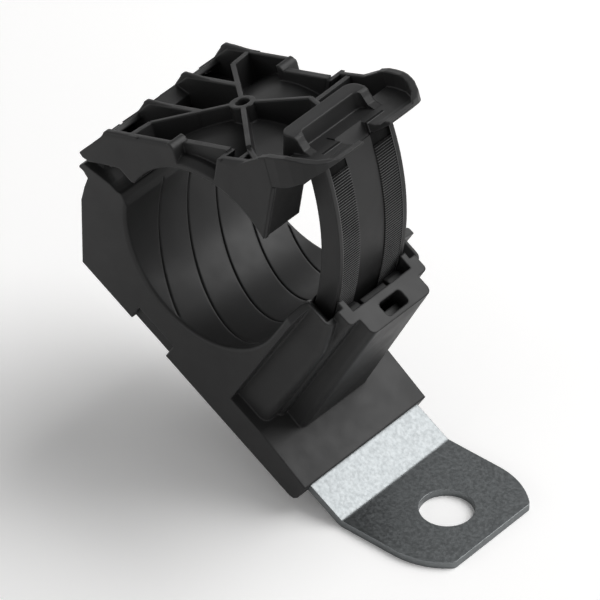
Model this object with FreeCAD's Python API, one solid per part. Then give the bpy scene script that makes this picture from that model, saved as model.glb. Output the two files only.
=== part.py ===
"""Ratchet P clamp on a bent steel bracket: two nylon mouldings and one plate.

The clip is drawn in its own frame, with x from the hinge towards the bolt
tab, y across the clip and z square to the base. The lid is drawn in a frame
of its own with the hinge axis at its origin, as if its flat top lay level.
place_clip() and place_lid() then carry both to the frame of the object,
whose origin is the centre of the bolt hole on the underside of the tab.
Sizes are millimetres and degrees.
"""
import FreeCAD, Part
import math
import os

# the bracket: one strip of steel with one bend and one hole
PLATE_T = 1.5
PLATE_W = 31.0
BEND_DEG = 30.0
BEND_R = 1.5
HOLE_D = 10.5
HOLE_TO_BEND = 12.5
HOLE_TO_TIP = 11.0
TIP_CORNER_R = 1.2
PLATE_END = 60.0

# the ring that holds the bundle, at the largest size it takes
RING_D = 38.0
RING_R = RING_D / 2
RING_LEFT = -70.05
SADDLE_Z = 7.2
RING_X, RING_Z = RING_LEFT + RING_R, SADDLE_Z + RING_R
HALF_W = 17.5

# the hinge axis, and the lid's angle to the base at the largest size
HINGE_X, HINGE_Z = -79.0, 19.0
LID_DEG = 48.0
PIN_R = 1.25
HINGE_FIT = 0.06
KNUCKLE_R = 2.5
CLEAR = 0.35
KNUCKLE_Y = (6.4, 13.8)

# the base and foot
FOOT_END = -8.8
BASE_Z = -2.8
FOOT_TOP = 3.5
FOOT_LIP = 2.3
BASE_LEFT = -68.8
PLATE_FIT = 0.02

# the ratchet strap, its slot and the fin between slot and ring
FIN_T = 1.55
FIN_X = RING_LEFT + RING_D + FIN_T
STRAP_T = 4.4
STRAP_RI = FIN_X + 1.0 - HINGE_X
STRAP_RO = STRAP_RI + STRAP_T
SLOT_X = HINGE_X + STRAP_RO
STRAP_HALF = 9.53
RAIL_IN = 8.47
BAND_HALF = 3.64
TOOTH_PITCH_DEG = 0.585
TOOTH_DEPTH = 0.6
TOOTH_START_DEG = 2.5
STRAP_TOP_DEG = 3.5
STRAP_TIP_DEG = -38.5
SLOT_GAP = 0.35
SLOT_FLOOR = 4.3
ROOM_T = 3.1
FINGER_T = 1.2
FINGER_GAP = 1.0

# the latch housing
HOUSING_TOP = 37.5
HOUSING_HALF = 9.7
HOUSING_TAPER = 1.3
HOUSING_T = 7.3
HOUSING_LEAN = 1.4
GUARD_T = 2.2
GUARD_HALF = 15.4
GUARD_TOP = 35.4
GUARD_TAPER = 2.0
INNER_GUARD_HALF = 11.7
PAWL_HALF = 7.9
WALL_TOP = 33.2
MOUTH_LOW = 32.4
PAWL_TOP = 34.9
PAWL_ROOT = 24.0
WINDOW = (3.1, 3.0)
WINDOW_EDGE = 2.4

# the lid, whose jaw ends short of the strap
JAW_END = STRAP_RI - 1.9
LID_TOP = 8.0
DIP_TOP = 6.8
JOG_TOP = 7.1
JOG_Y = (13.4, 14.8)
JOG_R = 1.4
WALL_T = 1.4
VAULT_T = 1.9
WALL_EDGE_R = 0.8
DIP_DEG = (64.0, 90.0)
DIP_Y = 16.1
DIP_EDGE = 0.95
RIB_T = 0.95
BOSS_SHIFT = 2.05
BOSS_R = 2.5
BOSS_HOLE_R = 1.45
LOOP_HALF = 10.1
LOOP_WALL = 2.0

V = FreeCAD.Vector
Y = V(0, 1, 0)


def lid_centre():
    """The ring's centre in the lid's frame."""
    a = math.radians(LID_DEG)
    dx, dz = RING_X - HINGE_X, RING_Z - HINGE_Z
    return dx * math.cos(a) + dz * math.sin(a), -dx * math.sin(a) + dz * math.cos(a)


def polar(cx, cz, r, deg):
    a = math.radians(deg)
    return cx + r * math.cos(a), cz + r * math.sin(a)


def prism(points, y0, y1):
    """A solid of a closed outline in x and z, between two values of y."""
    wire = Part.makePolygon([V(x, y0, z) for x, z in points + points[:1]])
    return Part.Face(wire).extrude(V(0, y1 - y0, 0))


def plan_prism(points, z0, z1):
    """A solid of a closed outline in x and y, between two heights."""
    wire = Part.makePolygon([V(x, y, z0) for x, y in points + points[:1]])
    return Part.Face(wire).extrude(V(0, 0, z1 - z0))


def mixed_prism(items, y0, y1):
    """A prism whose outline has lines and arcs: items are points, and arcs
    as ("arc", middle point, end point)."""
    edges = []
    here = items[0]
    for item in items[1:] + items[:1]:
        if item[0] == "arc":
            mid, end = item[1], item[2]
            arc = Part.Arc(V(here[0], y0, here[1]), V(mid[0], y0, mid[1]),
                           V(end[0], y0, end[1]))
            edges.append(arc.toShape())
            here = end
        else:
            edges.append(Part.makeLine(V(here[0], y0, here[1]), V(item[0], y0, item[1])))
            here = item
    return Part.Face(Part.Wire(edges)).extrude(V(0, y1 - y0, 0))


def drum(cx, cz, r, y0, y1):
    """A round bar along y."""
    return Part.makeCylinder(r, y1 - y0, V(cx, y0, cz), Y)


def ring_sector(cx, cz, ri, ro, d0, d1, y0, y1):
    """Part of a ring about an axis along y, between two angles."""
    mid = (d0 + d1) / 2
    items = [polar(cx, cz, ro, d0), ("arc", polar(cx, cz, ro, mid), polar(cx, cz, ro, d1)),
             polar(cx, cz, ri, d1), ("arc", polar(cx, cz, ri, mid), polar(cx, cz, ri, d0))]
    edges = []
    p = [V(x, y0, z) for x, z in (items[0], items[1][1], items[1][2],
                                  items[2], items[3][1], items[3][2])]
    edges.append(Part.Arc(p[0], p[1], p[2]).toShape())
    edges.append(Part.makeLine(p[2], p[3]))
    edges.append(Part.Arc(p[3], p[4], p[5]).toShape())
    edges.append(Part.makeLine(p[5], p[0]))
    return Part.Face(Part.Wire(edges)).extrude(V(0, y1 - y0, 0))


def box(x0, x1, y0, y1, z0, z1):
    return Part.makeBox(x1 - x0, y1 - y0, z1 - z0, V(x0, y0, z0))


def both(shape):
    """The shape and its mirror image across the clip."""
    return [shape, shape.mirror(V(0, 0, 0), Y)]


def fuse(shapes):
    first = shapes[0]
    return first.multiFuse(shapes[1:]).removeSplitter() if shapes[1:] else first


def rounded(shape, r, test):
    """Fillets the edges that the test picks."""
    picked = [e for e in shape.Edges if test(e)]
    return shape.makeFillet(r, picked) if picked else shape


def place_clip(shape):
    """From the clip's frame to the object's frame."""
    s = shape.copy()
    s.translate(V(0, 0, -PLATE_T))
    s.rotate(V(0, 0, 0), Y, BEND_DEG)
    s.translate(V(-HOLE_TO_BEND, 0, PLATE_T))
    return s


def place_lid(shape):
    """From the lid's frame to the clip's frame, then to the object's."""
    s = shape.copy()
    s.rotate(V(0, 0, 0), Y, -LID_DEG)
    s.translate(V(HINGE_X, 0, HINGE_Z))
    return place_clip(s)


def make_bracket():
    """The steel strip: a flat tab with the bolt hole, then the bend."""
    a = math.radians(BEND_DEG)
    cut = BEND_R * math.tan(a / 2)
    end = -PLATE_END
    sloped = prism([(end, 0), (end, PLATE_T), (-cut, PLATE_T), (-cut, 0)],
                   -PLATE_W / 2, PLATE_W / 2)
    sloped = place_clip(sloped)
    x0 = -HOLE_TO_BEND + cut
    flat = box(x0, HOLE_TO_TIP, -PLATE_W / 2, PLATE_W / 2, 0, PLATE_T)
    bend = ring_sector(x0, PLATE_T + BEND_R, BEND_R, BEND_R + PLATE_T,
                       270 - BEND_DEG, 270, -PLATE_W / 2, PLATE_W / 2)
    plate = fuse([sloped, bend, flat])
    keep = Part.makeCylinder(PLATE_W / 2, PLATE_T + 2, V(0, 0, -1))
    keep = keep.fuse(box(-90, 0, -PLATE_W / 2, PLATE_W / 2, -20, 60))
    plate = plate.common(keep)
    plate = rounded(plate, TIP_CORNER_R, is_tip_corner)
    return plate.cut(Part.makeCylinder(HOLE_D / 2, PLATE_T + 2, V(0, 0, -1)))


def is_tip_corner(edge):
    """The two upright edges where the round end meets the straight tip."""
    ends = [v.Point for v in edge.Vertexes]
    upright = len(ends) == 2 and abs(ends[0].x - ends[1].x) < 1e-6
    upright = upright and abs(ends[0].y - ends[1].y) < 1e-6
    return upright and ends[0].x > HOLE_TO_TIP - 0.01


def body_outline():
    """The body seen from its end: foot, base, hinge shoulder and ring."""
    start = polar(RING_X, RING_Z, RING_R, 203)
    foot = polar(RING_X, RING_Z, RING_R, 270)
    wall_x = RING_X + RING_R
    return [(FOOT_END, BASE_Z + 1.4), (FOOT_END - 0.5, BASE_Z + 0.4),
            (FOOT_END - 1.5, BASE_Z), (BASE_LEFT, BASE_Z),
            (BASE_LEFT - 7.4, BASE_Z + 12.8), (-77.2, 13.4), (-77.7, 16.0),
            (-79.2, 16.5), (-80.3, 16.35), (-80.45, 16.9), (-80.0, 18.0),
            (HINGE_X, HINGE_Z - 0.65), (-78.2, 18.5), (-76.0, 19.2), (-73.6, 19.9),
            (-71.7, 20.0), (-70.8, 20.4), (-69.6, 19.8), start,
            ("arc", foot, (wall_x, RING_Z)), (wall_x, GUARD_TOP - 0.5),
            (wall_x + 0.5, GUARD_TOP), (FIN_X, GUARD_TOP), (FIN_X, FOOT_TOP),
            (SLOT_X + 3.1, FOOT_TOP), (FOOT_END, FOOT_LIP)]


def guard():
    """The outer wall of the strap's slot: a wide wall that leans in at its
    top, and a narrower one inside it that stands up to the housing's top."""
    front, back = SLOT_X + GUARD_T, FIN_X - 0.5
    wide = prism([(back, 2.0), (front, 2.0), (front - 0.4, GUARD_TOP - 7.4),
                  (front - 2.5, GUARD_TOP), (back, GUARD_TOP)], -HALF_W, HALF_W)
    wide = wide.common(tapered(back, front + 1, GUARD_HALF, GUARD_TAPER, GUARD_TOP))
    wide = rounded(wide, 1.7, is_guard_corner)
    front += 0.7
    inner = prism([(SLOT_X - 2.9, 2.0), (front, 2.0), (front - 0.8, HOUSING_TOP),
                   (SLOT_X - 2.9, HOUSING_TOP)], -HALF_W, HALF_W)
    inner = inner.common(tapered(back, front + 1, INNER_GUARD_HALF, 0.7, HOUSING_TOP))
    inner = rounded(inner, 0.9, is_guard_corner)
    return [wide, inner]


def tapered(x0, x1, half, taper, top):
    """A block that narrows towards its top, as a mould needs."""
    pts = [V(x0, -half, 2.0), V(x0, half, 2.0), V(x0, half - taper, top),
           V(x0, taper - half, top), V(x0, -half, 2.0)]
    return Part.Face(Part.makePolygon(pts)).extrude(V(x1 - x0, 0, 0))


def is_guard_corner(edge):
    """The long edges between a guard's outer face and its ends."""
    c = edge.CenterOfMass
    ends = [v.Point for v in edge.Vertexes]
    upright = abs(ends[0].z - ends[1].z) > 5
    return upright and c.x > SLOT_X - 0.9 and abs(c.y) > 5


def latch_housing():
    """The block outside the slot, with the release window in its top."""
    back, front = SLOT_X - 1.9, SLOT_X + HOUSING_T
    block = prism([(back, 2.0), (front, 2.0), (front - HOUSING_LEAN, HOUSING_TOP),
                   (back, HOUSING_TOP)], -HALF_W, HALF_W)
    block = block.common(tapered(back, front + 1, HOUSING_HALF, HOUSING_TAPER, HOUSING_TOP))
    return rounded(block, 1.3, is_housing_corner)


def is_housing_corner(edge):
    """The two tall edges at the outer face of the latch housing."""
    c = edge.CenterOfMass
    front = SLOT_X + HOUSING_T - HOUSING_LEAN
    return abs(c.y) > 5 and c.x > front and edge.Length > 20


def slot_cuts():
    """The strap's slot, the room behind the pawls and the release window."""
    half = STRAP_HALF + SLOT_GAP
    low = math.degrees(math.asin((SLOT_FLOOR - HINGE_Z) / STRAP_RO))
    slot = ring_sector(HINGE_X, HINGE_Z, STRAP_RI - SLOT_GAP, STRAP_RO + SLOT_GAP,
                       low, 26, -half, half)
    root = math.degrees(math.asin((PAWL_ROOT - HINGE_Z) / (STRAP_RO + FINGER_GAP)))
    side = PAWL_HALF + SLOT_GAP
    room = ring_sector(HINGE_X, HINGE_Z, STRAP_RO, STRAP_RO + ROOM_T, root, 26, -side, side)
    width, half_w = WINDOW
    edge = SLOT_X + HOUSING_T - WINDOW_EDGE
    deep = HOUSING_TOP - 10.5
    window = box(edge - width, edge, -half_w, half_w, deep, HOUSING_TOP + 1)
    window = rounded(window, 0.8, lambda e: abs(e.Length - HOUSING_TOP - 1 + deep) < 1e-3)
    link = box(SLOT_X - 0.4, edge - 1.0, -half_w + 0.4, half_w - 0.4, deep + 1, deep + 5.5)
    return [slot, room, window, link] + mouth_cuts()


def mouth_cuts():
    """The slopes beside the slot's mouth that lead the strap in, and the
    falling top of the wall towards the two flat faces."""
    half = STRAP_HALF + SLOT_GAP
    far = GUARD_HALF - GUARD_TAPER
    lead = [(half - 0.3, MOUTH_LOW - 0.3), (far - 0.6, GUARD_TOP), (far - 0.6, GUARD_TOP + 5),
            (half - 0.3, GUARD_TOP + 5)]
    fall = [(far, GUARD_TOP), (HALF_W + 1, WALL_TOP - 0.5), (HALF_W + 1, GUARD_TOP + 1),
            (far, GUARD_TOP + 1)]
    cuts = []
    back = FIN_X - 3.5
    for outline, x0, x1 in ((lead, back, SLOT_X - 1.5), (fall, back, SLOT_X - 3.9)):
        wire = Part.makePolygon([V(x0, y, z) for y, z in outline + outline[:1]])
        cuts += both(Part.Face(wire).extrude(V(x1 - x0, 0, 0)))
    return cuts


def pawls():
    """Three springy fingers that stand in the room beside the slot: two with
    teeth for the toothed tracks, and one plain finger between them."""
    inner = STRAP_RO + FINGER_GAP
    outer = inner + FINGER_T
    root = math.degrees(math.asin((PAWL_ROOT - 0.6 - HINGE_Z) / inner))
    top = math.degrees(math.asin((PAWL_TOP - HINGE_Z) / (inner + FINGER_T / 2)))
    parts = [ring_sector(HINGE_X, HINGE_Z, inner, outer, root, top, -3.3, 3.3)]
    side = ring_sector(HINGE_X, HINGE_Z, inner, outer, root, top, 4.1, PAWL_HALF)
    nib = []
    for k in range(3):
        d = top - 0.2 - k * 2 * TOOTH_PITCH_DEG
        tri = [polar(HINGE_X, HINGE_Z, inner + 0.1, d),
               polar(HINGE_X, HINGE_Z, STRAP_RO + SLOT_GAP, d - 0.15),
               polar(HINGE_X, HINGE_Z, inner + 0.1, d - 2 * TOOTH_PITCH_DEG)]
        nib.append(prism(tri, 4.1, PAWL_HALF))
    for piece in [side] + nib:
        parts += both(piece)
    return parts


def ring_grooves():
    """Five fine slanting grooves round the saddle of the ring."""
    shell = drum(RING_X, RING_Z, RING_R + 0.3, -HALF_W, HALF_W)
    cuts = []
    for k in range(5):
        slab = box(-30, 30, -0.17, 0.17, -25, 25)
        slab.rotate(V(0, 0, 0), V(0, 0, 1), -25.5)
        slab.translate(V(RING_X, -15.2 + 8.1 * k, RING_Z))
        cuts.append(slab.common(shell))
    low = box(RING_LEFT + 0.5, RING_X + RING_R + 0.8, -HALF_W + 0.9, HALF_W - 0.9,
              0, RING_Z + 0.8)
    return [c.common(low) for c in cuts]


def hinge_lugs():
    """The pin and the lugs that carry it."""
    pin = drum(HINGE_X, HINGE_Z, PIN_R, -15.0, 15.0)
    neck = [(-80.6, 17.0), (-78.4, 16.0), (-76.5, 18.2), (-77.4, 19.6), (HINGE_X, 20.0)]
    parts = [pin]
    for y0, y1 in ((-KNUCKLE_Y[0] + CLEAR, KNUCKLE_Y[0] - CLEAR),
                   (KNUCKLE_Y[1] + CLEAR, 15.4), (-15.4, -KNUCKLE_Y[1] - CLEAR)):
        parts.append(drum(HINGE_X, HINGE_Z, 2.1, y0, y1))
        parts.append(prism(neck, y0, y1))
    return parts


def make_body():
    """The lower moulding: foot, saddle, strap slot, latch and hinge pin."""
    core = mixed_prism(body_outline(), -HALF_W, HALF_W)
    core = rounded(core, 0.7, is_ring_rim)
    body = fuse([core] + guard() + [latch_housing()])
    relief = []
    for y0, y1 in ((KNUCKLE_Y[0] - CLEAR, KNUCKLE_Y[1] + CLEAR),
                   (-KNUCKLE_Y[1] - CLEAR, -KNUCKLE_Y[0] + CLEAR)):
        relief.append(drum(HINGE_X, HINGE_Z, KNUCKLE_R + CLEAR, y0, y1))
    for piece in relief + slot_cuts() + ring_grooves() + base_cuts():
        body = body.cut(piece)
    return fuse([body] + hinge_lugs() + pawls())


def is_ring_rim(edge):
    """The round edges of the ring on the two flat faces."""
    c = edge.CenterOfMass
    curved = edge.Curve.TypeId == "Part::GeomCircle"
    return curved and abs(abs(c.y) - HALF_W) < 1e-3


def base_cuts():
    """The pocket for the plate, and the notch in each long side."""
    half = PLATE_W / 2 + PLATE_FIT
    pocket = box(-PLATE_END - PLATE_FIT, 5, -half, half, -PLATE_FIT, PLATE_T + PLATE_FIT)
    notch = box(-54.8, -45.2, HALF_W - 1.2, HALF_W + 1, BASE_Z - 1, 1.0)
    return [pocket] + both(notch)


def underside(cx, cz):
    """The lower edge of the lid, from over the pin to the ring."""
    x, z = polar(cx, cz, RING_R, 133)
    return [(-1.15, 1.5), (0.4, 0.75), (3.1, 0.85), (x - 3.0, 0.6), (x - 2.0, -0.5),
            (x - 0.8, z + 0.15), (x, z)]


def side_walls(cx, cz):
    """The lid's two end walls, each with a dip in its top edge."""
    end = polar(cx, cz, RING_R, 22)
    dip_r = RING_R + VAULT_T
    right, left = DIP_DEG
    mid = (right + left) / 2
    shoulder = (DIP_TOP - cz) / math.sin(math.radians(right))
    outline = [(-1.6, 2.55)] + underside(cx, cz) + [
               ("arc", polar(cx, cz, RING_R, 78), end), (JAW_END, 2.9), (JAW_END, 8.7),
               (JAW_END - 1.4, 8.6), (JAW_END - 5.6, 7.1), polar(cx, cz, shoulder, right),
               polar(cx, cz, dip_r, right),
               ("arc", polar(cx, cz, dip_r, mid), polar(cx, cz, dip_r, left)),
               (cx, LID_TOP), (7.7, LID_TOP), (6.9, 7.6)]
    wall = mixed_prism(outline, HALF_W - WALL_T, HALF_W)
    wall = rounded(wall, WALL_EDGE_R, is_wall_top)
    return both(wall)


def is_wall_top(edge):
    """The long outer edges along the top of a wall."""
    c = edge.CenterOfMass
    ends = [v.Point for v in edge.Vertexes]
    level = abs(c.y - HALF_W) < 1e-3 and abs(ends[0].z - ends[1].z) < 1.4
    return level and c.z > 6.8 and edge.Length > 3


def dip_jogs(cx, cz):
    """The wall that steps inward behind each dip, with its two returns."""
    y0, y1 = JOG_Y
    deg = DIP_DEG[0]
    shoulder = (DIP_TOP - cz) / math.sin(math.radians(deg))
    top = polar(cx, cz, shoulder, deg)
    foot = polar(cx, cz, RING_R + VAULT_T - 0.5, deg)
    left = cx - WALL_T
    inner = prism([(left, 4.0), (left, JOG_TOP), (top[0], JOG_TOP), foot], y0, y1)
    near = prism([foot, top, (top[0] + RIB_T, top[1]), (foot[0] + RIB_T, foot[1])], y0, HALF_W)
    far = box(left, cx, y0, HALF_W - 0.1, 4.0, LID_TOP)
    return both(inner) + both(near) + both(far)


def jog_corners(cx):
    """What rounds the top of each wall towards its dip."""
    x, z = cx - JOG_R, LID_TOP - JOG_R
    cut = mixed_prism([(x, LID_TOP + 1), (cx + 0.1, LID_TOP + 1), (cx + 0.1, z),
                       (cx, z), ("arc", polar(x, z, JOG_R, 45), (x, LID_TOP))],
                      JOG_Y[0] - 0.1, HALF_W + 0.1)
    return both(cut)


def dip_chamfers(cx, cz):
    """The slope between the skin and the flat faces along each dip."""
    y0, y1 = DIP_Y, HALF_W
    r0, r1 = RING_R + VAULT_T, RING_R + DIP_EDGE
    pts = [V(cx, y0, cz + r0), V(cx, y1, cz + r1), V(cx, y1 + 1, cz + r1),
           V(cx, y1 + 1, cz + 24), V(cx, y0, cz + 24), V(cx, y0, cz + r0)]
    face = Part.Face(Part.makePolygon(pts))
    cut = face.revolve(V(cx, 0, cz), Y, DIP_DEG[1] - DIP_DEG[0])
    return both(cut)


def vault(cx, cz):
    """The curved inner skin of the lid, its end and the floor by the hinge."""
    y = HALF_W
    skin = ring_sector(cx, cz, RING_R, RING_R + VAULT_T, 33, 133, -y, y)
    toe = ring_sector(cx, cz, RING_R, RING_R + VAULT_T, 22, 34, 7.4, y)
    tip = polar(cx, cz, RING_R, 22)
    toe = toe.common(prism([tip, (JAW_END, 2.9), (cx + 6, 2.9), (cx + 6, tip[1] - 1)], 7.4, y))
    end = prism([tip, (JAW_END, 2.9), (JAW_END - 1.6, 3.6), polar(cx, cz, RING_R, 27)], 7.4, y)
    floor = prism([(-1.6, 2.3)] + underside(cx, cz)
                  + [polar(cx, cz, RING_R + VAULT_T, 128), (0.0, 2.3)], -y, y)
    left = prism([(-1.5, 2.3), (4.1, 5.6), (4.7, 4.7), (0.3, 2.1)], -y, y)
    return [skin, floor, left] + both(toe) + both(end)


def strut(x0, y0, x1, y1, top, low=-9, t=RIB_T):
    """An upright rib between two points of the plan."""
    length = math.hypot(x1 - x0, y1 - y0)
    rib = box(0, length, -t / 2, t / 2, low, top)
    rib.rotate(V(0, 0, 0), V(0, 0, 1), math.degrees(math.atan2(y1 - y0, x1 - x0)))
    rib.translate(V(x0, y0, 0))
    return rib


def lid_ribs(cx, cz):
    """The boss and the ribs that brace the lid's skin."""
    bx = cx + BOSS_SHIFT
    far = JAW_END - 8.0
    wall = HALF_W - WALL_T / 2
    ribs = []
    for side in (-1, 1):
        ribs.append(strut(bx, 0, 13.2, side * 11.6, LID_TOP))
        ribs.append(strut(13.2, side * 11.6, 12.7, side * wall, LID_TOP))
    ribs.append(strut(bx, 0, far, -13.2, LID_TOP))
    ribs.append(strut(far, -13.2, far, -wall, DIP_TOP))
    ribs.append(strut(far, -13.2, far + 5.4, -wall, 7.4, 3.5))
    ribs.append(strut(bx, 0, far - 1.1, 5.4, LID_TOP))
    ribs.append(strut(far - 1.1, 5.4, far - 1.4, wall, DIP_TOP))
    ribs.append(strut(far - 1.1, 5.4, JAW_END + 0.4, 1.0, LID_TOP, 3.5))
    ribs.append(Part.makeCylinder(BOSS_R, LID_TOP + 9, V(bx, 0, -9)))
    solid = fuse(ribs).cut(drum(cx, cz, RING_R + 0.6, -20, 20))
    keep = prism([(8, -4), (8, LID_TOP), (JAW_END - 0.1, LID_TOP), (JAW_END - 0.1, 3.2),
                  polar(cx, cz, RING_R + 0.6, 27), polar(cx, cz, RING_R - 3, 27)],
                 -HALF_W + 0.4, HALF_W - 0.4)
    return solid.common(keep)


def hinge_ribs():
    """The two ribs that part the three bays by the hinge, and the stop."""
    rib = prism([(0.5, 1.5), (8.0, 1.2), (12.0, -0.2), (16.0, 2.1), (20.5, 3.6),
                 (20.5, LID_TOP), (7.7, LID_TOP), (6.9, 7.6), (-1.2, 2.8)], 4.7, 5.9)
    stop = prism([(0.6, 2.0), (4.1, 5.95), (7.0, 4.3), (7.0, 2.0)], -4.9, 4.9)
    return both(rib) + [stop]


def knuckles():
    """The two hooks that snap over the pin."""
    y0, y1 = KNUCKLE_Y
    hook = drum(0, 0, KNUCKLE_R, y0, y1)
    web = prism([(-1.6, 2.55), (-2.3, 0.9), (0.0, 0.0), (2.4, 0.6), (2.6, 1.6)], y0, y1)
    return both(hook.fuse(web))


def knuckle_cuts():
    """The bores of the hooks, their mouths, the core holes over them, and
    the room for the lugs of the body."""
    y0, y1 = KNUCKLE_Y
    bore = drum(0, 0, PIN_R + HINGE_FIT, y0 - 0.1, y1 + 0.1)
    mouth = prism([(0, 0), polar(0, 0, 4, 222), polar(0, 0, 5, 265),
                   polar(0, 0, 4, 308)], y0 - 0.1, y1 + 0.1)
    core = box(3.0, 7.2, y0 + 0.4, y1 - 0.4, -2, 3.6)
    slit = box(7.4, 9.3, -3.2, 3.2, -2, 4)
    mid_lug = drum(0, 0, 2.1 + CLEAR, -y0, y0)
    end_lug = drum(0, 0, 2.1 + CLEAR, y1, HALF_W - WALL_T + 0.2)
    return both(bore) + both(mouth) + both(core) + both(end_lug) + [slit, mid_lug]


def tray_plan(inset):
    """The plan of the thumb tray from the jaw's end, drawn in by a wall."""
    half = [(-1.7, 0.0), (2.4, 0.1), (5.4, 0.6), (7.7, 1.5), (9.6, 2.9),
            (10.9, 4.7), (11.6, 7.1), (11.8, 10.5)]
    half = [(x, HALF_W - y) for x, y in half]
    pts = [(x - 0.35 * inset if x > 5.4 else x, y - inset) for x, y in half]
    if inset:
        pts[-1] = (14.4, pts[-1][1])
        pts[-2] = (14.4, pts[-2][1])
    return pts + [(x, -y) for x, y in reversed(pts)]


def thumb_tray():
    """The scoop at the free end of the lid, with its upright loop."""
    shell = prism([(-1.6, 0.6), (0.0, 2.9), (3.6, 3.1), (7.2, 4.1), (9.9, 5.4),
                   (11.8, 6.3), (11.9, 6.9), (10.8, 7.1), (9.0, 7.7), (6.8, 8.6),
                   (4.4, 9.1), (0.4, 9.1), (-1.6, 8.7)], -HALF_W, HALF_W)
    shell = shell.common(plan_prism(tray_plan(0), -1, 12))
    scoop = prism([(-3.6, 6.0), (4.0, 5.9), (7.6, 5.6), (9.2, 5.9), (10.6, 6.8), (14.4, 6.85),
                   (14.4, 13), (-3.6, 13)], -HALF_W, HALF_W)
    scoop = scoop.common(plan_prism(tray_plan(WALL_T), 2, 14))
    open_band = box(4.0, 14.4, -BAND_HALF, BAND_HALF, -2, 14)
    gap = box(-7.6, 0, -HALF_W + WALL_T, HALF_W - WALL_T, 3.7, 14)
    return at_jaw_end(shell.cut(scoop).cut(open_band).cut(gap))


def at_jaw_end(shape):
    """Carries what is drawn from the jaw's end to its place on the lid."""
    shape.translate(V(JAW_END, 0, 0))
    return shape


def loop():
    """The U-shaped wall that stands on the tray."""
    half, wall = LOOP_HALF, LOOP_WALL
    solid = prism([(-4.6, 4.0), (-2.7, 9.8), (-0.4, 9.5), (0.8, 9.3), (1.4, 8.9),
                   (1.8, 7.9), (2.5, 6.6), (4.2, 5.8), (4.2, 5.0), (0.5, 3.2), (-1.0, 1.6)],
                  -half, half)
    solid = rounded(solid, 2.2, is_loop_corner)
    room = box(0.4, 12, wall - half, half - wall, 5.9, 14)
    room = rounded(room, 1.4, lambda e: abs(e.Length - 8.1) < 1e-3 and e.CenterOfMass.x < 1)
    return at_jaw_end(solid.cut(room))


def is_loop_corner(edge):
    """The two leaning outer corners of the loop."""
    c = edge.CenterOfMass
    return abs(c.x + 3.65) < 1e-3 and abs(abs(c.y) - LOOP_HALF) < 1e-3


def strap():
    """The ratchet strap: a curved strip with two rails, a smooth band down
    the middle and a row of saw teeth on each side of the band."""
    d0, d1 = STRAP_TIP_DEG, STRAP_TOP_DEG
    floor_r = STRAP_RO - TOOTH_DEPTH
    y = STRAP_HALF
    strip = ring_sector(0, 0, STRAP_RI, floor_r, d0, d1, -y, y)
    rail = ring_sector(0, 0, floor_r - 0.2, STRAP_RO, d0, d1, RAIL_IN, y)
    band = ring_sector(0, 0, floor_r - 0.2, STRAP_RO - 0.4, d0, d1, -BAND_HALF, BAND_HALF)
    back, front = STRAP_RI + 0.5, STRAP_RO - 0.9
    head = prism([(back, 2.2), (front, 2.2), polar(0, 0, STRAP_RO - 0.4, d1 - 0.6),
                  (front - 1.0, 6.1), (back, 6.1)], -BAND_HALF, BAND_HALF)
    saw = []
    first = d1 - TOOTH_START_DEG
    count = int((first - d0 - 0.7) / TOOTH_PITCH_DEG)
    for k in range(count + 1):
        d = first - k * TOOTH_PITCH_DEG
        saw.append(polar(0, 0, STRAP_RO - 0.05, d))
        saw.append(polar(0, 0, floor_r + 0.05, d - TOOTH_PITCH_DEG / 4))
    back = [polar(0, 0, floor_r - 0.6, first - k * 4 * TOOTH_PITCH_DEG)
            for k in range(count // 4, -1, -1)]
    teeth = prism(saw + back, BAND_HALF - 0.05, RAIL_IN + 0.05)
    solid = fuse([strip, head, band] + both(rail) + both(teeth))
    tip = polar(0, 0, STRAP_RO, d0)
    nose = prism([polar(0, 0, STRAP_RI - 1, d0 - 0.6), polar(0, 0, STRAP_RO + 1, d0 - 0.6),
                  polar(0, 0, STRAP_RO + 1, d0 + 3.0), polar(0, 0, STRAP_RO, d0 + 1.9),
                  polar(0, 0, STRAP_RO - 1.6, d0), polar(0, 0, STRAP_RI - 1, d0)], -20, 20)
    return solid.cut(nose)


def make_lid():
    """The upper moulding: braced jaw, thumb tray, hinge hooks and strap."""
    cx, cz = lid_centre()
    solid = fuse(vault(cx, cz) + side_walls(cx, cz) + dip_jogs(cx, cz) + hinge_ribs() + knuckles()
                 + [lid_ribs(cx, cz), thumb_tray(), loop()])
    hole = Part.makeCylinder(BOSS_HOLE_R, LID_TOP, V(cx + BOSS_SHIFT, 0, LID_TOP - 3.8))
    bore = drum(cx, cz, RING_R, -HALF_W, HALF_W)
    for piece in knuckle_cuts() + dip_chamfers(cx, cz) + jog_corners(cx) + [hole, bore]:
        solid = solid.cut(piece)
    return fuse([solid, strap()])


def main():
    os.makedirs("parts", exist_ok=True)
    nodes = {"mounting_bracket": make_bracket(),
             "clamp_body": place_clip(make_body()),
             "clamp_lid": place_lid(make_lid())}
    for name, shape in nodes.items():
        shape.exportStep("parts/" + name + ".step")
        print(name, len(shape.Solids), "solid", round(shape.Volume), "mm3",
              shape.isValid())


main()
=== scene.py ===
# %% [markdown]
# A ratchet P clamp: a black nylon ring with a hinged, braced lid, moulded
# round a strip of zinc-plated steel that ends in a bolt tab.
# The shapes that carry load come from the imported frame. This lesson gives
# each of them the small radii and the surface of the real piece, adds the
# fine forms that a mould leaves, and lights it like a studio photograph.

# %% Load the frame
import math

import bmesh
import bpy
import numpy as np
from mathutils import Matrix, Vector


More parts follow.
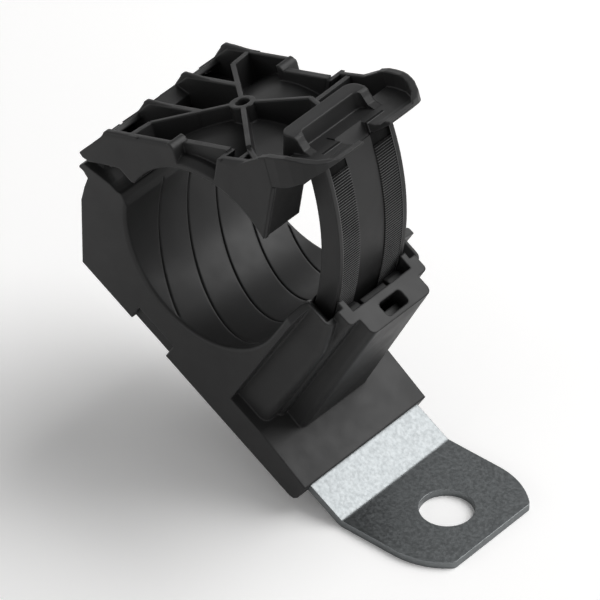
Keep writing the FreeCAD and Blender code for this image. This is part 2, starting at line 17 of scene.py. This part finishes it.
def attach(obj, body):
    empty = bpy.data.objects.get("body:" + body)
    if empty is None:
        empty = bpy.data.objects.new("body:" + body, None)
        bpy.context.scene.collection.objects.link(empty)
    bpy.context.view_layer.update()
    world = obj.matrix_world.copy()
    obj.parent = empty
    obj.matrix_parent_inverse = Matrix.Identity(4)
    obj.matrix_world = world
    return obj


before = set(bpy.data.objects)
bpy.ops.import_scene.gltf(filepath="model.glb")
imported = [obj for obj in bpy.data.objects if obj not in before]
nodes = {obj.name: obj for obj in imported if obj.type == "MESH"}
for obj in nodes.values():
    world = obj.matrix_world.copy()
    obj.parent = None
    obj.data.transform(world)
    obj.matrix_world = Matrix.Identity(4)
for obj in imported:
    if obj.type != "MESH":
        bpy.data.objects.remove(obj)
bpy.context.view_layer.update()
scene = bpy.context.scene
MM = 0.001
print("nodes:", {name: len(o.data.polygons) for name, o in nodes.items()})

# %% [markdown]
# The clamp was drawn in a frame of its own, square to the sloping steel
# strip, and its lid in another, square to the lid. Small forms could be
# placed by typed numbers in the object's frame, but each would need its
# slope worked out again. Two helpers carry a point from those frames to the
# object's instead, so each form has the plain sizes of the piece it lies on.

# %% Frames of the clip and of the lid
BEND = math.radians(30)
PLATE_T = 1.5
HOLE_TO_BEND = 12.5
HINGE = (-79.0, 19.0)
LID_TURN = math.radians(48)


def clip_to_object(x, y, z):
    """Turns (x, z - plate) by the bend about Y, then shifts to the hole."""
    x, y, z = np.broadcast_arrays(np.asarray(x, float), y, z)
    z = z - PLATE_T
    out_x = x * math.cos(BEND) + z * math.sin(BEND) - HOLE_TO_BEND
    out_z = -x * math.sin(BEND) + z * math.cos(BEND) + PLATE_T
    return np.stack([out_x, y, out_z], -1) * MM


def lid_to_object(p, y, q):
    """Turns (p, q) back by the lid's angle about the hinge, then as above."""
    p, y, q = np.broadcast_arrays(np.asarray(p, float), y, q)
    x = HINGE[0] + p * math.cos(LID_TURN) - q * math.sin(LID_TURN)
    z = HINGE[1] + p * math.sin(LID_TURN) + q * math.cos(LID_TURN)
    return clip_to_object(x, y, z)


HINGE_AXIS = clip_to_object(HINGE[0], 0, HINGE[1])
print("hinge axis at", HINGE_AXIS.round(5))

# %% [markdown]
# A catalogue picture is taken with a long lens from far away, so its lines
# are almost parallel. A camera aimed at a point would do, but its place is
# given here by two angles, a roll and two shifts across the view, since
# each of these moves the picture in one way only and is easy to fit.

# %% Camera
AZIMUTH, ELEVATION, ROLL = 40.2413, 39.0384, 0.1022
FOCAL_PX, FRAME_PX, SENSOR_MM = 8000.0, 600.0, 36.0
DISTANCE, SHIFT_RIGHT, SHIFT_UP = 1493.549, -17.7516, 34.6789
NEAREST, FARTHEST = 0.05, 20.0


def aim_camera():
    """Position = -distance * forward + the two sideways shifts, in mm from
    the bend's line."""
    a, e, r = (math.radians(v) for v in (AZIMUTH, ELEVATION, ROLL))
    forward = Vector((-math.sin(a) * math.cos(e), math.cos(a) * math.cos(e), -math.sin(e)))
    right = Vector((math.cos(a), math.sin(a), 0))
    up = right.cross(forward)
    right, up = (math.cos(r) * right + math.sin(r) * up,
                 -math.sin(r) * right + math.cos(r) * up)
    place = -DISTANCE * forward + SHIFT_RIGHT * right + SHIFT_UP * up
    place -= Vector((HOLE_TO_BEND, 0, 0))
    data = bpy.data.cameras.new("camera")
    data.sensor_width = SENSOR_MM
    data.lens = FOCAL_PX / FRAME_PX * data.sensor_width
    data.clip_start, data.clip_end = NEAREST, FARTHEST
    cam = bpy.data.objects.new("camera", data)
    turn = Matrix((right, up, -forward)).transposed()
    cam.matrix_world = Matrix.Translation(place * MM) @ turn.to_4x4()
    scene.collection.objects.link(cam)
    scene.camera = cam
    return cam


camera = aim_camera()
print("lens", camera.data.lens, "mm at", [round(v, 3) for v in camera.location])

# %% [markdown]
# The world, the floor and every finish are node trees. Written out in full,
# each node takes several lines. So a small class adds a node together with
# its values, and four helpers cover what nearly every tree needs: a sum on
# sockets, a ramp from a number to a tone, an empty material and its output.

# %% Node helpers
class Nodes:
    """A node tree with short ways to add a node and to join sockets."""

    def __init__(self, tree):
        self.tree = tree
        tree.nodes.clear()

    def add(self, kind, **values):
        node = self.tree.nodes.new(kind)
        for key, value in values.items():
            if key in node.inputs:
                node.inputs[key].default_value = value
            else:
                setattr(node, key, value)
        return node

    def link(self, out, into):
        self.tree.links.new(out, into)


def math_node(g, operation, first, second=None):
    """One math node on sockets or numbers."""
    node = g.add("ShaderNodeMath", operation=operation)
    for k, value in enumerate((first, second)):
        if isinstance(value, (int, float)):
            node.inputs[k].default_value = value
        elif value is not None:
            g.link(value, node.inputs[k])
    return node.outputs[0]


def ramp(g, source, stops, interpolation="EASE"):
    """A colour ramp with (position, grey or colour) stops."""
    node = g.add("ShaderNodeValToRGB")
    node.color_ramp.interpolation = interpolation
    while len(node.color_ramp.elements) < len(stops):
        node.color_ramp.elements.new(0.5)
    for element, (place, tone) in zip(node.color_ramp.elements, stops):
        element.position = place
        rgb = tone if hasattr(tone, "__len__") else (tone, tone, tone)
        element.color = (*rgb, 1)
    g.link(source, node.inputs["Fac"])
    return node


def new_material(name):
    """An empty node material and its tree."""
    mat = bpy.data.materials.new(name)
    mat.use_nodes = True
    return mat, Nodes(mat.node_tree)


def show(g, shader, output="ShaderNodeOutputMaterial"):
    """Joins the last shader to the tree's output."""
    out = g.add(output)
    g.link(shader.outputs[0], out.inputs["Surface"])


print("node helpers ready")

# %% [markdown]
# A studio could be built with walls of white card. A world whose radiance
# depends on height alone does the same with five stops: white round the
# horizon, and dim overhead. Plated steel shows what stands round it, so the
# dim ceiling is what makes the level tab so much darker than the sloping
# part of the strip.

# %% World
scene.view_settings.view_transform = "Standard"
# Height, from 0 straight down to 1 straight up, and the radiance there.
WORLD_STOPS = [(0.0, 0.6), (0.50, 1.0), (0.63, 0.95), (0.73, 0.20), (1.0, 0.25)]


def make_world():
    """Radiance = the ramp at (1 + z) / 2 for the direction's height z."""
    world = bpy.data.worlds.new("studio")
    world.use_nodes = True
    g = Nodes(world.node_tree)
    where = g.add("ShaderNodeTexCoord")
    split = g.add("ShaderNodeSeparateXYZ")
    g.link(where.outputs["Generated"], split.inputs[0])
    half = g.add("ShaderNodeMapRange")
    half.inputs["From Min"].default_value = -1.0
    g.link(split.outputs["Z"], half.inputs["Value"])
    tone = ramp(g, half.outputs["Result"], WORLD_STOPS)
    back = g.add("ShaderNodeBackground", Strength=1.0)
    g.link(tone.outputs["Color"], back.inputs["Color"])
    show(g, back, "ShaderNodeOutputWorld")
    scene.world = world
    return world


print("world:", make_world().name)

# %% [markdown]
# The clamp stands on white paper. A bent backdrop isn't needed, as the
# camera looks down, so one wide sheet is enough. It has three tones: a pale
# grey that bounces light onto the part, a lighter one for what steel and
# satin nylon reflect, and white for the camera. None of them glows, so the
# part keeps its shadow.

# %% Floor
FLOOR_REACH = 3.0
FLOOR_BOUNCED = (0.74, 0.735, 0.73, 1)
FLOOR_REFLECTED = (0.85, 0.845, 0.84, 1)
FLOOR_SEEN = (1.16, 1.155, 1.15, 1)


def switch(g, factor, off, on):
    """A shader that is the first where the factor is zero, the second where
    it is one."""
    mix = g.add("ShaderNodeMixShader")
    g.link(factor, mix.inputs["Fac"])
    g.link(off.outputs[0], mix.inputs[1])
    g.link(on.outputs[0], mix.inputs[2])
    return mix


def make_floor():
    """A square sheet at z = 0 whose tone depends on the kind of ray."""
    r = FLOOR_REACH
    mesh = bpy.data.meshes.new("floor")
    mesh.from_pydata([(-r, -r, 0), (r, -r, 0), (r, r, 0), (-r, r, 0)], [], [(0, 1, 2, 3)])
    floor = bpy.data.objects.new("floor", mesh)
    scene.collection.objects.link(floor)
    mat, g = new_material("pale_floor")
    path = g.add("ShaderNodeLightPath")
    mirrored = math_node(g, "MAXIMUM", path.outputs["Is Glossy Ray"],
                         path.outputs["Is Transmission Ray"])
    bounced, reflected, seen = [g.add("ShaderNodeBsdfDiffuse", Color=tone)
                                for tone in (FLOOR_BOUNCED, FLOOR_REFLECTED, FLOOR_SEEN)]
    unseen = switch(g, mirrored, bounced, reflected)
    show(g, switch(g, path.outputs["Is Camera Ray"], unseen, seen))
    mesh.materials.append(mat)
    return floor


print("floor:", make_floor().name)

# %% [markdown]
# Three soft boxes give the part its form. The strong one stands behind it
# on the right and throws the shadow to the front left. Two weak ones in
# front lift the ring's face and the tab's edge. Point lamps would give hard
# shadows; square lamps of more than half a metre give the soft ones of a
# studio. Each is set by the radiance of its face, so its size can change
# and its reflection in the steel stays as bright.

# %% Soft boxes
TARGET = clip_to_object(-40.0, 0.0, 15.0)
# Name, direction from the part, distance and size in metres, radiance.
SOFT_BOXES = (("back_right", (0.30, 0.60, 0.78), 0.9, 0.8, 3.5),
              ("front_right", (0.75, -0.55, 0.35), 1.1, 0.6, 0.15),
              ("front_left", (-0.35, -0.85, 0.45), 1.1, 0.6, 0.7))


def soft_box(name, direction, distance, size, radiance):
    """A square lamp aimed at the part, of power = radiance * pi * area."""
    data = bpy.data.lights.new(name, "AREA")
    data.shape = "SQUARE"
    data.size = size
    data.energy = radiance * math.pi * size * size
    lamp = bpy.data.objects.new(name, data)
    away = Vector(direction).normalized()
    lamp.location = Vector(TARGET) + away * distance
    lamp.rotation_mode = "QUATERNION"
    lamp.rotation_quaternion = away.to_track_quat("Z", "Y")
    scene.collection.objects.link(lamp)
    return lamp


for box in SOFT_BOXES:
    print("lamp:", soft_box(*box).name)

# %% [markdown]
# A solid has sharp edges where a moulding or a blanked strip has small
# radii, and it is these that catch the light. Rounding them in the mesh
# costs thousands of faces and fails on the thinnest ribs. The Bevel node
# bends the light at each edge instead, and a fine noise is laid over it as
# a bump. Noise on the object's own coordinates needs no unwrapping, has no
# seams, and stays in place when the lid turns.

# %% Edges and grain
GRAIN_DEPTH = 0.02 * MM


def object_noise(g, scale, detail, rough=0.5):
    """Noise on object coordinates, with the scale in cycles per metre."""
    where = g.add("ShaderNodeTexCoord")
    noise = g.add("ShaderNodeTexNoise", Scale=scale, Detail=detail, Roughness=rough)
    g.link(where.outputs["Object"], noise.inputs["Vector"])
    return noise.outputs["Fac"]


def relief(g, shader, edge, strength, scale, detail):
    """Normal = the rounded edge's normal, tilted by a fine noise."""
    grain = g.add("ShaderNodeBump", Strength=strength, Distance=GRAIN_DEPTH)
    g.link(object_noise(g, scale, detail), grain.inputs["Height"])
    g.link(edge.outputs["Normal"], grain.inputs["Normal"])
    g.link(grain.outputs["Normal"], shader.inputs["Normal"])


print("grain", GRAIN_DEPTH, "m deep")

# %% [markdown]
# The strap's teeth are a fine saw on an arc about the hinge. Their crests
# are burnished by the pawls, and the gaps between them are deep and lie in
# shade. From this far a tooth is two to three pixels wide, and the mesh
# alone gives a flat grey band. So the colour has painted shade in the gaps
# and a painted highlight on the crests, and the crests are glossier. Stripes
# laid on the strap would have to meet every tooth. The height on a tooth
# does so by itself: it is the distance from the hinge's axis, which the
# nodes can work out at each point and turn into painted shade and highlight,
# and into gloss.

# %% Teeth by their distance from the hinge
# The rounding of plain edges and of those on the strap.
EDGE, FINE_EDGE = 0.55 * MM, 0.05 * MM
# Limits of the strap and of its two toothed tracks: the distance from the
# hinge's axis, and that from the middle plane, which is never negative.
STRAP_RADII = (49.3 * MM, 54.2 * MM)
STRAP_SIDES = (-1.0, 8.6 * MM)
TRACK_RADII = (53.2 * MM, 53.92 * MM)
TRACK_SIDES = (3.62 * MM, 8.52 * MM)
TOOTH_ROOT, TOOTH_CREST = 53.34 * MM, 53.88 * MM
TOOTH_SCALE = 10.0
# Height from root 0 to crest 1, and a tenth of the factor there.
# TOOTH_PAINTED_SHADE_AND_HIGHLIGHT is painted light in the colour: near black at the root for the
# shade in the gaps, and light at the crest for a highlight.
TOOTH_PAINTED_SHADE_AND_HIGHLIGHT = [(0.0, 0.005), (0.76, 0.01), (0.88, 0.35), (1.0, 1.0)]
TOOTH_GLOSS = [(0.0, 0.19), (0.72, 0.18), (0.86, 0.07), (1.0, 0.06)]


def from_hinge(g):
    """The radius, root of x squared plus z squared from the hinge's axis,
    and the distance from the middle plane, the size of y."""
    where = g.add("ShaderNodeTexCoord")
    away = g.add("ShaderNodeVectorMath", operation="SUBTRACT")
    g.link(where.outputs["Object"], away.inputs[0])
    away.inputs[1].default_value = tuple(HINGE_AXIS)
    flat = g.add("ShaderNodeVectorMath", operation="MULTIPLY")
    g.link(away.outputs[0], flat.inputs[0])
    flat.inputs[1].default_value = (1.0, 0.0, 1.0)
    length = g.add("ShaderNodeVectorMath", operation="LENGTH")
    g.link(flat.outputs[0], length.inputs[0])
    split = g.add("ShaderNodeSeparateXYZ")
    g.link(away.outputs[0], split.inputs[0])
    return length.outputs["Value"], math_node(g, "ABSOLUTE", split.outputs["Y"])


def between(g, value, limits):
    """One where the value lies between the two limits, else zero."""
    return math_node(g, "MULTIPLY", math_node(g, "GREATER_THAN", value, limits[0]),
                     math_node(g, "LESS_THAN", value, limits[1]))


def zone(g, radius, side, radii, sides):
    """One inside a band of radii and a band of sides, else zero."""
    return math_node(g, "MULTIPLY", between(g, radius, radii), between(g, side, sides))


def edge_radius(g, radius, side):
    """The radius on the edges: fine on the strap, and larger elsewhere."""
    strap = zone(g, radius, side, STRAP_RADII, STRAP_SIDES)
    return math_node(g, "SUBTRACT", EDGE, math_node(g, "MULTIPLY", strap, EDGE - FINE_EDGE))


def tooth_factor(g, radius, side, stops):
    """1 + track * (scale * ramp(height on the tooth) - 1): the ramp's factor
    on the toothed tracks, and one off them."""
    height = g.add("ShaderNodeMapRange")
    height.inputs["From Min"].default_value = TOOTH_ROOT
    height.inputs["From Max"].default_value = TOOTH_CREST
    g.link(radius, height.inputs["Value"])
    tone = ramp(g, height.outputs["Result"], stops, "LINEAR")
    track = zone(g, radius, side, TRACK_RADII, TRACK_SIDES)
    factor = math_node(g, "MULTIPLY", tone.outputs["Color"], TOOTH_SCALE)
    extra = math_node(g, "SUBTRACT", factor, 1.0)
    return math_node(g, "ADD", math_node(g, "MULTIPLY", extra, track), 1.0)


print("teeth from", TOOTH_ROOT, "to", TOOTH_CREST, "m from the hinge")

# %% [markdown]
# Black glass-filled nylon is satin: nearly black in the body, with a fine
# spark-eroded grain from the mould. A plain black looks like painted wood,
# since real mouldings vary a little in tone and gloss where the melt flowed
# round a core. Two slow noises carry that, and the grain is the bump. The
# lid and the body are separate mouldings, so each has its own mix.

# %% Nylon
NYLON_ROUGHNESS, NYLON_SPECULAR = 0.45, 0.33
FLOW_SCALE, FLOW_SPREAD = 60.0, 0.14
GLOSS_SCALE, GLOSS_SPREAD = 220.0, 0.05
NYLON_GRAIN_SCALE, NYLON_GRAIN = 5200.0, 0.10


def nylon(name, tone, toothed=False):
    """Colour = tone * (1 -+ spread) by a slow noise, and roughness likewise;
    on the toothed lid both are multiplied by the tooth's factor."""
    mat, g = new_material(name)
    radius, side = from_hinge(g)
    shader = g.add("ShaderNodeBsdfPrincipled")
    shader.inputs["Specular IOR Level"].default_value = NYLON_SPECULAR
    low, high = [tuple(c * k for c in tone) for k in (1 - FLOW_SPREAD, 1 + FLOW_SPREAD)]
    colour = ramp(g, object_noise(g, FLOW_SCALE, 3.0), [(0.3, low), (0.7, high)]).outputs["Color"]
    gloss = ramp(g, object_noise(g, GLOSS_SCALE, 4.0),
                 [(0.25, NYLON_ROUGHNESS - GLOSS_SPREAD),
                  (0.75, NYLON_ROUGHNESS + GLOSS_SPREAD)]).outputs["Color"]
    if toothed:
        # Painted light: the colour is darkened in the tooth gaps as painted shade, and lightened
        # on the crests as a painted highlight.
        scaled = g.add("ShaderNodeVectorMath", operation="SCALE")
        g.link(colour, scaled.inputs[0])
        g.link(tooth_factor(g, radius, side, TOOTH_PAINTED_SHADE_AND_HIGHLIGHT), scaled.inputs["Scale"])
        colour = scaled.outputs[0]
        gloss = math_node(g, "MULTIPLY", gloss, tooth_factor(g, radius, side, TOOTH_GLOSS))
    g.link(colour, shader.inputs["Base Color"])
    g.link(gloss, shader.inputs["Roughness"])
    edge = g.add("ShaderNodeBevel", samples=8)
    g.link(edge_radius(g, radius, side), edge.inputs["Radius"])
    relief(g, shader, edge, NYLON_GRAIN, NYLON_GRAIN_SCALE, 2.0)
    show(g, shader)
    return mat


body_nylon = nylon("black_nylon_body", (0.022, 0.022, 0.0222))
lid_nylon = nylon("black_nylon_lid", (0.020, 0.020, 0.0202), toothed=True)
print("nylon:", body_nylon.name, lid_nylon.name)

# %% [markdown]
# Bright zinc plate is a soft, cloudy metal: the coat reflects like satin
# silver, with a fine mottle from the bath. A polished metal would mirror
# the studio sharply, so the roughness stays near a third, and one noise
# each moves the tone, the gloss and the surface. The tones lean to blue, as
# clear passivated zinc does.

# %% Zinc plate
ZINC_DARK, ZINC_LIGHT = (0.210, 0.223, 0.228), (0.243, 0.256, 0.261)
ZINC_GLOSS = [(0.3, 0.30), (0.7, 0.42)]
ZINC_EDGE = 0.2 * MM
MOTTLE_SCALE, MOTTLE_ROUGH = 900.0, 0.65
ZINC_GLOSS_SCALE = 1500.0
ZINC_GRAIN_SCALE, ZINC_GRAIN = 2600.0, 0.25


def zinc(name):
    """A metal whose colour and roughness each follow a noise by a ramp."""
    mat, g = new_material(name)
    shader = g.add("ShaderNodeBsdfPrincipled", Metallic=1.0)
    mottle = object_noise(g, MOTTLE_SCALE, 5.0, MOTTLE_ROUGH)
    colour = ramp(g, mottle, [(0.3, ZINC_DARK), (0.7, ZINC_LIGHT)])
    g.link(colour.outputs["Color"], shader.inputs["Base Color"])
    gloss = ramp(g, object_noise(g, ZINC_GLOSS_SCALE, 4.0), ZINC_GLOSS)
    g.link(gloss.outputs["Color"], shader.inputs["Roughness"])
    edge = g.add("ShaderNodeBevel", samples=6, Radius=ZINC_EDGE)
    relief(g, shader, edge, ZINC_GRAIN, ZINC_GRAIN_SCALE, 3.0)
    show(g, shader)
    return mat


zinc_plate = zinc("zinc_plate")
print("zinc:", zinc_plate.name)

# %% [markdown]
# Each node of the frame is one real piece of one material: two mouldings
# and the strip. Their meshes stay as they are, and only the finish changes.

# %% Finish of the frame's own nodes
def dress(name, mat):
    """Gives a node of the frame its one material."""
    node = nodes[name]
    node.data.materials.clear()
    node.data.materials.append(mat)
    return node


for name, mat in (("clamp_body", body_nylon), ("clamp_lid", lid_nylon),
                  ("mounting_bracket", zinc_plate)):
    print(dress(name, mat).name, "is", mat.name)

# %% [markdown]
# The small forms that follow are part of the mouldings and turn with them.
# They could be joined to the solids, but are finer than those are drawn.
# Each is a closed surface of two parameters: rings of points, one behind
# the other, joined by quads and closed by a face at both ends. Smooth
# shading with sharp edges above 40 degrees keeps their corners crisp.

# %% Mesh from rings
SHARP_FROM = math.radians(40)


def piece_of_rings(name, grid, body, mat):
    """Point (i, j) is point j of ring i; quads join rings i and i + 1, and
    the first and the last ring are closed by one face each."""
    n, m = grid.shape[:2]
    i, j = np.meshgrid(np.arange(n - 1), np.arange(m), indexing="ij")
    k = (j + 1) % m
    quads = np.stack([i * m + j, i * m + k, (i + 1) * m + k, (i + 1) * m + j], -1)
    ends = [list(range(m))[::-1], list(range((n - 1) * m, n * m))]
    mesh = bpy.data.meshes.new(name)
    mesh.from_pydata(grid.reshape(-1, 3), [], quads.reshape(-1, 4).tolist() + ends)
    bm = bmesh.new()
    bm.from_mesh(mesh)
    bmesh.ops.recalc_face_normals(bm, faces=bm.faces)
    bm.to_mesh(mesh)
    bm.free()
    mesh.shade_smooth()
    mesh.set_sharp_from_angle(angle=SHARP_FROM)
    mesh.materials.append(mat)
    piece = bpy.data.objects.new(name, mesh)
    scene.collection.objects.link(piece)
    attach(piece, body)
    return piece


print("mesh helper ready")

# %% [markdown]
# Where the ribs and the walls turn down to the hinge they stand a little
# proud, which steps the back edge of the lid. A box would end in a blunt
# step. So each shoulder is the rib's own outline, a slope, a rounded corner
# and a top, carried across the thickness of the rib, and its rise fades to
# nothing at both ends of the outline.

# %% Shoulders over the hinge
# All in mm in the lid's frame: along the lid, and up from it.
RIB_FOOT, RIB_TOP_END = (1.6, 3.4), (15.0, 8.05)
RIB_CORNER, RIB_CORNER_R = (7.6, 6.15), 1.9
CORNER_ANGLES = (149, 90)
INNER_LINE = [(14.0, 7.2), (9.0, 6.9), (7.4, 5.6), (3.0, 3.3)]
# The way that a point is lifted, how deep the ends of the outline lie in
# the rib, the chamfer of the two faces, and how early the rise is gone.
BISECTOR = np.array([-0.51, 0.86])
SUNK, SIDE_CHAMFER = 0.06, 0.12
FADE = 1.15
# Name, the two faces across the clamp, and the rise.
SHOULDERS = (("near_wall", -17.35, -16.25, 0.3), ("near_rib", -5.75, -4.85, 0.6),
             ("far_rib", 4.85, 5.75, 0.8), ("far_wall", 16.25, 17.35, 0.85))


def shoulder(name, y0, y1, rise):
    """Outline: up the slope, round the corner, and along the top.

    Each point is lifted along the corner's bisector by the rise times the
    root of sin(pi * fade * run), for the run from 0 at the foot. The outline
    is repeated on four rings, and lowered by the chamfer on the outer two.
    """
    t = np.radians(np.linspace(*CORNER_ANGLES, 7))
    corner = np.stack([RIB_CORNER[0] + RIB_CORNER_R * np.cos(t),
                       RIB_CORNER[1] + RIB_CORNER_R * np.sin(t)], -1)
    slope = np.linspace(RIB_FOOT, corner[0], 5)[:-1]
    top = np.linspace(corner[-1], RIB_TOP_END, 5)[1:]
    outer = np.concatenate([slope, corner, top])
    run = np.linspace(0, 1, len(outer))
    weight = np.sin(np.clip(run * FADE, 0, 1) * math.pi) ** 0.5
    outer = outer + BISECTOR * (rise * weight - SUNK)[:, None]
    outline = np.concatenate([outer, INNER_LINE])
    across = np.array([y0, y0 + SIDE_CHAMFER, y1 - SIDE_CHAMFER, y1])
    lowered = np.array([SIDE_CHAMFER, 0.0, 0.0, SIDE_CHAMFER])[:, None, None]
    grid = outline[None] - lowered * BISECTOR
    points = lid_to_object(grid[..., 0], across[:, None], grid[..., 1])
    return piece_of_rings(name, points, "lid", lid_nylon)


for label, y0, y1, rise in SHOULDERS:
    print(shoulder("shoulder_" + label, y0, y1, rise).name)

# %% [markdown]
# The free end of the jaw is a flat wall with a low raised rim along both of
# its long edges, which stiffens it and gives a bright line in the picture.
# A rim is a profile carried along a straight path, so it is made by a
# sweep: a strip with two rounded corners, sunk below the wall so that no
# gap can show.

# %% Rims on the jaw's end
JAW_FOOT, JAW_HEAD = np.array([41.67, -8.83]), np.array([47.6, 2.9])
RIM_WIDTH, RIM_HEIGHT, RIM_CORNER = 1.1, 0.35, 0.3
RIM_START, RIM_END = 0.01, 0.985
RIM_SIDES = (("near", -16.8), ("far", 16.8))


def rim_profile(width, height, corner, count=5):
    """Half width and height, each less the corner, plus corner times
    (cos t, sin t); the left half mirrors the right, and the foot is as far
    below the wall as the top is above it."""
    t = np.linspace(0, math.pi / 2, count)
    right = np.stack([width / 2 - corner + corner * np.cos(t),
                      height - corner + corner * np.sin(t)], -1)
    left = right[::-1] * (-1, 1)
    foot = [(-width / 2, -height), (width / 2, -height)]
    return np.concatenate([right, left, foot]) * MM


def lid_direction(p, q):
    """A direction of the lid's frame, of length one, in the object's."""
    d = lid_to_object(p, 0, q) - lid_to_object(0, 0, 0)
    return d / np.linalg.norm(d)


def sweep(path, side, up, profile):
    """Point (i, j) = path i + a_j side + b_j up for the profile's (a, b)."""
    return path[:, None] + profile[None, :, :1] * side + profile[None, :, 1:] * up


def jaw_rim(name, y):
    """The rim's profile, carried from the jaw's foot to its head."""
    t = np.linspace(RIM_START, RIM_END, 9)[:, None]
    line = JAW_FOOT + (JAW_HEAD - JAW_FOOT) * t
    path = lid_to_object(line[:, 0], y, line[:, 1])
    along = (JAW_HEAD - JAW_FOOT) / np.linalg.norm(JAW_HEAD - JAW_FOOT)
    outward = lid_direction(along[1], -along[0])
    profile = rim_profile(RIM_WIDTH, RIM_HEIGHT, RIM_CORNER)
    grid = sweep(path, np.array([0.0, 1.0, 0.0]), outward, profile)
    return piece_of_rings(name, grid, "lid", lid_nylon)


for label, y in RIM_SIDES:
    print(jaw_rim("jaw_rim_" + label, y).name)

# %% [markdown]
# Through the release window in the housing's top one sees the back of the
# middle finger, a few millimetres down, which a screwdriver presses to free
# the strap. Only its head shows, so it isn't worth a whole finger: a
# rounded rectangle carried straight up, drawn in a little at its top edge.

# %% Finger in the release window
SLOT_X, HOUSING_TOP = HINGE[0] + 53.95, 37.5
WINDOW_EDGE = SLOT_X + 4.9
FINGER_X = (WINDOW_EDGE - 1.8, WINDOW_EDGE + 0.1)
FINGER_Y = (-2.9, 2.9)
FINGER_Z = (HOUSING_TOP - 7.0, HOUSING_TOP - 3.0)
FINGER_CORNER, FINGER_CHAMFER = 0.25, 0.1


def finger_block(name, x, y, z, corner):
    """Ring: quarter circles of the corner's radius about the four corners of
    an inner rectangle. Three rings: foot, below the top, and the top, which
    is drawn in by the chamfer."""
    t = np.linspace(0, math.pi / 2, 4)
    arc = corner * np.stack([np.cos(t), np.sin(t)], -1)
    half = np.array([x[1] - x[0], y[1] - y[0]]) / 2 - corner
    signs = np.array([(1, 1), (-1, 1), (-1, -1), (1, -1)])
    turns = [arc, arc[::-1], arc, arc[::-1]]
    ring = np.concatenate([(a + half) * s for a, s in zip(turns, signs)])
    heights = np.array([z[0], z[1] - FINGER_CHAMFER, z[1]])
    inset = 1 - np.array([0, 0, FINGER_CHAMFER])[:, None, None] / (half + corner)
    grid = ring[None] * inset + (sum(x) / 2, sum(y) / 2)
    points = clip_to_object(grid[..., 0], grid[..., 1], heights[:, None])
    return piece_of_rings(name, points, "base", body_nylon)


print(finger_block("window_finger", FINGER_X, FINGER_Y, FINGER_Z, FINGER_CORNER).name)
